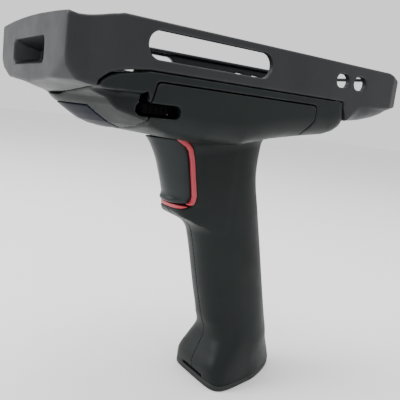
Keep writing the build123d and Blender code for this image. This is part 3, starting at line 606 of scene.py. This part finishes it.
def surface_net(values, low, step):
    """Vertices and quads of the zero surface: one vertex in each cell that it crosses."""
    inside = values < 0
    shape = np.array(values.shape)
    cell_lists = []
    point_lists = []
    for a in range(3):
        b = (a + 1) % 3
        c = (a + 2) % 3
        lower = [slice(None)] * 3
        upper = [slice(None)] * 3
        lower[a] = slice(None, -1)
        upper[a] = slice(1, None)
        edge = np.argwhere(inside[tuple(lower)] != inside[tuple(upper)])
        edge = edge[(edge[:, b] > 0) & (edge[:, c] > 0)]
        along = np.zeros(3, int)
        along[a] = 1
        first = values[tuple(edge.T)]
        second = values[tuple((edge + along).T)]
        t = first / (first - second)
        points = edge + t[:, None] * along
        corner = np.zeros((4, 3), int)
        corner[1, b] = corner[2, b] = corner[2, c] = corner[3, c] = -1
        cells = edge[:, None, :] + corner[None]
        cells = np.where((first < 0)[:, None, None], cells, cells[:, ::-1])
        cell_lists.append((cells * [shape[1] * shape[2], shape[2], 1]).sum(-1))
        point_lists.append(np.repeat(points[:, None, :], 4, axis=1))
    cells = np.concatenate(cell_lists)
    points = np.concatenate(point_lists).reshape(-1, 3)
    ids, quads = np.unique(cells.ravel(), return_inverse=True)
    total = np.bincount(quads, minlength=len(ids))
    vertices = np.stack([np.bincount(quads, points[:, k], len(ids)) / total for k in range(3)], -1)
    return vertices * step + low, quads.reshape(-1, 4)


def relax(vertices, quads):
    """Each vertex moved to the mean of its neighbours."""
    ends = np.concatenate([quads[:, [k, (k + 1) % 4]] for k in range(4)])
    total = np.bincount(ends[:, 0], minlength=len(vertices))
    sums = [np.bincount(ends[:, 0], vertices[ends[:, 1], k], len(vertices)) for k in range(3)]
    return np.stack([values / total for values in sums], -1)


def snap(vertices, field, step):
    """Vertices moved along the field's slope onto its zero surface."""
    reach = 0.1 * step
    x, y, z = vertices.T
    value = field(x, y, z)
    slope = np.stack([
        field(x + reach, y, z) - field(x - reach, y, z),
        field(x, y + reach, z) - field(x, y - reach, z),
        field(x, y, z + reach) - field(x, y, z - reach),
    ], -1) / (2 * reach)
    length = np.maximum(np.linalg.norm(slope, axis=1), 0.3)
    move = np.clip(value / length, -0.8 * step, 0.8 * step)
    return vertices - slope / length[:, None] * move[:, None]


def solid_mesh(name, field, low, high, step=CELL):
    """Blender object of a field's zero surface between two corners, in metres."""
    low = np.array(low, float) - 2.6 * step
    counts = np.ceil((np.array(high, float) + 2.6 * step - low) / step).astype(int)
    values = near_surface(field, low, step, counts)
    vertices, quads = surface_net(values, low, step)
    for _ in range(2):
        vertices = snap(relax(vertices, quads), field, step)
    vertices = snap(vertices, field, step)
    mesh = bpy.data.meshes.new(name)
    mesh.from_pydata((vertices * MM).tolist(), [], quads.tolist())
    mesh.validate()
    mesh.polygons.foreach_set("use_smooth", [True] * len(mesh.polygons))
    piece = bpy.data.objects.new(name, mesh)
    bpy.context.scene.collection.objects.link(piece)
    return piece


# ---------------------------------------------------------------- materials
class Nodes:
    """A material's node tree, with short calls to add and join nodes."""

    def __init__(self, name):
        self.material = bpy.data.materials.new(name)
        self.material.use_nodes = True
        self.tree = self.material.node_tree
        self.shader = self.tree.nodes["Principled BSDF"]
        self.place = self.add("ShaderNodeTexCoord").outputs["Object"]

    def add(self, kind, **settings):
        node = self.tree.nodes.new(kind)
        for key, value in settings.items():
            setattr(node, key, value)
        return node

    def join(self, source, target):
        self.tree.links.new(source, target)

    def noise(self, scale, detail=2.0, roughness=0.5, stretch=None):
        """Noise over the object's own coordinates; scale is cycles per metre."""
        place = self.place
        if stretch:
            mapping = self.add("ShaderNodeMapping")
            mapping.inputs["Scale"].default_value = stretch
            self.join(place, mapping.inputs["Vector"])
            place = mapping.outputs["Vector"]
        node = self.add("ShaderNodeTexNoise")
        node.inputs["Scale"].default_value = scale
        node.inputs["Detail"].default_value = detail
        node.inputs["Roughness"].default_value = roughness
        self.join(place, node.inputs["Vector"])
        return node.outputs["Fac"]

    def ramp(self, source, low, high, dark, bright):
        """Map a value between low and high onto dark to bright."""
        node = self.add("ShaderNodeMapRange")
        for key, value in (("From Min", low), ("From Max", high), ("To Min", dark), ("To Max", bright)):
            node.inputs[key].default_value = value
        self.join(source, node.inputs["Value"])
        return node.outputs["Result"]

    def mix(self, amount, first, second):
        """Mix two colours, each a socket or a plain colour."""
        node = self.add("ShaderNodeMix", data_type="RGBA")
        self.join(amount, node.inputs["Factor"])
        for value, target in ((first, node.inputs[6]), (second, node.inputs[7])):
            if isinstance(value, tuple):
                target.default_value = (*value, 1.0)
            else:
                self.join(value, target)
        return node.outputs[2]

    def bump(self, heights):
        """Bump from (height socket, strength, distance in metres) layers."""
        normal = None
        for height, strength, distance in heights:
            node = self.add("ShaderNodeBump")
            node.inputs["Strength"].default_value = strength
            node.inputs["Distance"].default_value = distance
            self.join(height, node.inputs["Height"])
            if normal:
                self.join(normal, node.inputs["Normal"])
            normal = node.outputs["Normal"]
        self.join(normal, self.shader.inputs["Normal"])


def moulded(name, colour, roughness, grain=0.5, wear=0.25, tint=0.18, specular=0.5, rub=(0.16, 0.165, 0.165)):
    """Injection-moulded plastic: spark texture, faint flow mottling, handled edges."""
    m = Nodes(name)
    darker = tuple(c * (1 - tint) for c in colour)
    lighter = tuple(c * (1 + tint) for c in colour)
    flow = m.ramp(m.noise(38.0, 3.0), 0.35, 0.65, 0.0, 1.0)
    base = m.mix(flow, darker, lighter)
    speck = m.ramp(m.noise(2600.0, 2.0, 0.6), 0.55, 0.75, 0.0, 0.35)
    base = m.mix(speck, base, tuple(c * 1.7 for c in colour))
    edge = m.add("ShaderNodeNewGeometry").outputs["Pointiness"]
    worn = m.ramp(edge, 0.53, 0.60, 0.0, wear)
    patch = m.ramp(m.noise(170.0, 4.0, 0.6), 0.42, 0.62, 0.15, 1.0)
    amount = m.add("ShaderNodeMath", operation="MULTIPLY", use_clamp=True)
    m.join(worn, amount.inputs[0])
    m.join(patch, amount.inputs[1])
    base = m.mix(amount.outputs[0], base, rub)
    m.join(base, m.shader.inputs["Base Color"])
    smear = m.noise(90.0, 4.0, 0.55)
    m.join(m.ramp(smear, 0.3, 0.7, roughness - 0.06, roughness + 0.08), m.shader.inputs["Roughness"])
    m.shader.inputs["Specular IOR Level"].default_value = specular
    m.bump([(m.noise(2200.0, 2.0, 0.7), grain, 0.00003), (m.noise(55.0, 2.0), 0.15, 0.0003)])
    return m.material


def metal(name, colour, roughness, stretch=(1.0, 1.0, 1.0)):
    """Bare metal with fine tooling marks and slight tarnish."""
    m = Nodes(name)
    tarnish = m.ramp(m.noise(300.0, 4.0, 0.6), 0.3, 0.75, 0.0, 1.0)
    m.join(m.mix(tarnish, colour, tuple(c * 0.7 for c in colour)), m.shader.inputs["Base Color"])
    m.shader.inputs["Metallic"].default_value = 1.0
    marks = m.noise(900.0, 3.0, 0.6, stretch)
    m.join(m.ramp(marks, 0.3, 0.7, roughness - 0.08, roughness + 0.12), m.shader.inputs["Roughness"])
    m.bump([(marks, 0.3, 0.00002)])
    return m.material


def board(name):
    """Circuit board: green mask with faint copper tracks under it."""
    m = Nodes(name)
    wave = m.add("ShaderNodeTexWave", bands_direction="X")
    wave.inputs["Scale"].default_value = 260.0
    wave.inputs["Distortion"].default_value = 2.0
    m.join(m.place, wave.inputs["Vector"])
    track = m.ramp(wave.outputs["Fac"], 0.55, 0.65, 0.0, 1.0)
    m.join(m.mix(track, (0.008, 0.07, 0.03), (0.02, 0.13, 0.05)), m.shader.inputs["Base Color"])
    m.join(m.ramp(m.noise(500.0), 0.3, 0.7, 0.25, 0.4), m.shader.inputs["Roughness"])
    m.bump([(track, 0.3, 0.00003)])
    return m.material


BOOT_BLACK = moulded("boot_plastic", (0.010, 0.011, 0.013), 0.44, specular=0.27)
SLED_BLACK = moulded("sled_plastic", (0.005, 0.007, 0.007), 0.46, specular=0.17)
SHELL_BLACK = moulded("shell_plastic", (0.005, 0.0075, 0.007), 0.46, wear=0.18, specular=0.17)
TRIGGER_BLACK = moulded("trigger_plastic", (0.009, 0.013, 0.014), 0.40, grain=0.25, specular=0.26)
# Chin cover: near-black navy with almost no reflection. Partly its own smoked tint, partly painted shade and
# painted bluish sky reflection for the down-facing facet under the nose
SMOKED_PAINTED_SHADE = moulded("smoked_cover", (0.004, 0.006, 0.012), 0.40, grain=0.05, wear=0.1, specular=0.04)
BEZEL_RED = moulded("bezel_red", (0.34, 0.022, 0.036), 0.38, grain=0.2, wear=0.1, tint=0.08,
                    rub=(0.45, 0.10, 0.11))
CATCH_BLACK = moulded("catch_plastic", (0.0012, 0.0012, 0.0014), 0.8, wear=0.0, specular=0.04)
CAP_BLACK = moulded("cap_plastic", (0.009, 0.011, 0.011), 0.54, grain=0.7, specular=0.3)
BRACKET_GREY = moulded("bracket_plastic", (0.18, 0.18, 0.17), 0.5)
SWITCH_BLACK = moulded("switch_plastic", (0.02, 0.02, 0.02), 0.45)
PAD_RUBBER = moulded("pad_rubber", (0.016, 0.016, 0.017), 0.85, grain=0.9, wear=0.1, specular=0.3)
CABLE_RUBBER = moulded("cable_jacket", (0.015, 0.015, 0.016), 0.55, grain=0.3)
STEEL = metal("screw_steel", (0.56, 0.56, 0.57), 0.32)
SPRING_STEEL = metal("spring_steel", (0.5, 0.5, 0.52), 0.28, (1.0, 1.0, 6.0))
BRASS = metal("insert_brass", (0.72, 0.50, 0.20), 0.35)
GOLD = metal("gold_plate", (0.90, 0.66, 0.28), 0.2)
BOARD_GREEN = board("board_mask")


# ---------------------------------------------------------------- pieces
W = HALF_WIDTH
skins = (
    ("boot_skin", "boot_frame", "boot_plastic", boot, BOOT_BLACK, (-W, NOSE_Y, 140.0), (W, TAIL_Y, RIM_Z)),
    ("sled_skin", "sled_tray", "sled_plastic", sled, SLED_BLACK, (-W, NOSE_Y, 129.0), (W, 50.5, 153.2)),
    ("chin_skin", "chin_cover", "smoked_cover", chin, SMOKED_PAINTED_SHADE, (-17.5, -78.0, 129.0), (17.5, -56.0, 139.0)),
    ("left_grip_skin", "grip_shell_left", "shell_plastic", left_shell, SHELL_BLACK,
     (0.0, -57.0, FOOT_Z), (W, 61.0, SADDLE_TOP_Z)),
    ("right_grip_skin", "grip_shell_right", "shell_plastic", right_shell, SHELL_BLACK,
     (-W, -57.0, FOOT_Z), (0.0, 61.0, SADDLE_TOP_Z)),
    ("bezel_ring", "trigger_bezel", "bezel_red", bezel, BEZEL_RED, (-15.0, -27.0, 92.0), (15.0, -5.0, 128.0)),
    ("trigger_lever", "trigger", "trigger_plastic", trigger, TRIGGER_BLACK,
     (-12.0, -39.0, 96.0), (12.0, 10.0, 127.0)),
    ("foot_sole", "base_cap", "cap_plastic", cap, CAP_BLACK, (-22.0, 4.0, 0.0), (22.0, 61.0, 19.5)),
)
FINE = {"bezel_ring": 0.5, "trigger_lever": 0.7, "chin_skin": 0.8}
for name, node, slot_name, field, material, low, high in skins:
    piece = solid_mesh(name, field, low, high, CELL * FINE.get(name, 1.0))
    piece.data.materials.append(material)
    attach(piece, "trigger" if node == "trigger" else "handle")
    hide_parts(node)
    print(name, len(piece.data.polygons), "faces")

CARRIED = {
    "grip_screws": STEEL, "grip_inserts": BRASS, "saddle_screws": STEEL, "trigger_pin": STEEL,
    "mechanism_bracket": BRACKET_GREY, "trigger_spring": SPRING_STEEL, "trigger_switch": SWITCH_BLACK,
    "switch_button": BEZEL_RED, "switch_board": BOARD_GREEN, "contact_block": SWITCH_BLACK,
    "contact_barrels": BRASS, "contact_pins": GOLD, "contact_board": BOARD_GREEN,
    "switch_cable": CABLE_RUBBER, "bay_pads": PAD_RUBBER, "tail_bumper": PAD_RUBBER,
    "catch_left": CATCH_BLACK, "catch_right": CATCH_BLACK,
}
for node, material in CARRIED.items():
    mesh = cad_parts[node].data
    mesh.materials.clear()
    mesh.materials.append(material)

# ---------------------------------------------------------------- studio
low_corner, high_corner = (Vector(v) for v in cad_box)
centre = (low_corner + high_corner) / 2


def studio_plane(name, size, place, material):
    """Large plain level plane for the floor."""
    mesh = bpy.data.meshes.new(name)
    half = size / 2
    corners = [(-half, -half, 0), (half, -half, 0), (half, half, 0), (-half, half, 0)]
    mesh.from_pydata(corners, [], [(0, 1, 2, 3)])
    plane = bpy.data.objects.new(name, mesh)
    bpy.context.scene.collection.objects.link(plane)
    plane.location = place
    plane.data.materials.append(material)


floor_nodes = Nodes("studio_floor")
floor_nodes.join(
    floor_nodes.mix(floor_nodes.noise(3.0), (0.90, 0.90, 0.90), (0.94, 0.94, 0.94)),
    floor_nodes.shader.inputs["Base Color"],
)
floor_nodes.shader.inputs["Roughness"].default_value = 0.9
studio_plane("studio_floor", 8.0, (0.0, 0.0, low_corner.z - 0.0002), floor_nodes.material)

world = bpy.data.worlds.new("studio_world")
world.use_nodes = True
background = world.node_tree.nodes["Background"]
background.inputs["Color"].default_value = (1.0, 1.0, 1.0, 1.0)
background.inputs["Strength"].default_value = 1.15
bpy.context.scene.world = world


def area_light(name, place, size, power):
    """Soft square light aimed at the object."""
    light = bpy.data.lights.new(name, "AREA")
    light.shape = "SQUARE"
    light.size = size
    light.energy = power
    lamp = bpy.data.objects.new(name, light)
    bpy.context.scene.collection.objects.link(lamp)
    lamp.location = Vector(place)
    lamp.rotation_euler = (centre - lamp.location).to_track_quat("-Z", "Y").to_euler()


area_light("key_light", (-0.35, -0.9, 0.75), 0.6, 12.0)
area_light("nose_light", (-0.85, -0.75, 0.12), 0.5, 1.4)
area_light("fill_light", (0.9, -0.3, 0.5), 0.8, 1.0)
area_light("top_light", (0.0, 0.1, 1.1), 0.9, 9.0)

# Camera: in front and to the user's left, looking slightly down, rolled a little
VIEW_AZIMUTH = math.radians(54.6)
VIEW_DOWN = math.radians(9.6)
VIEW_ROLL = math.radians(6.7)
CAMERA_OFFSET = Vector((0.2069, -0.1488, 0.05475))
SENSOR = 36.0
LENS = 46.2

camera_data = bpy.data.cameras.new("camera")
camera_data.sensor_width = SENSOR
camera_data.lens = LENS
camera = bpy.data.objects.new("camera", camera_data)
bpy.context.scene.collection.objects.link(camera)
ahead = Vector((-math.sin(VIEW_AZIMUTH) * math.cos(VIEW_DOWN), math.cos(VIEW_AZIMUTH) * math.cos(VIEW_DOWN),
                -math.sin(VIEW_DOWN)))
level_right = ahead.cross(Vector((0, 0, 1))).normalized()
level_up = level_right.cross(ahead)
right = level_right * math.cos(VIEW_ROLL) + level_up * math.sin(VIEW_ROLL)
up = right.cross(ahead)
turn = Matrix((right, up, -ahead)).transposed().to_4x4()
camera.matrix_world = Matrix.Translation(centre + CAMERA_OFFSET) @ turn
bpy.context.scene.camera = camera
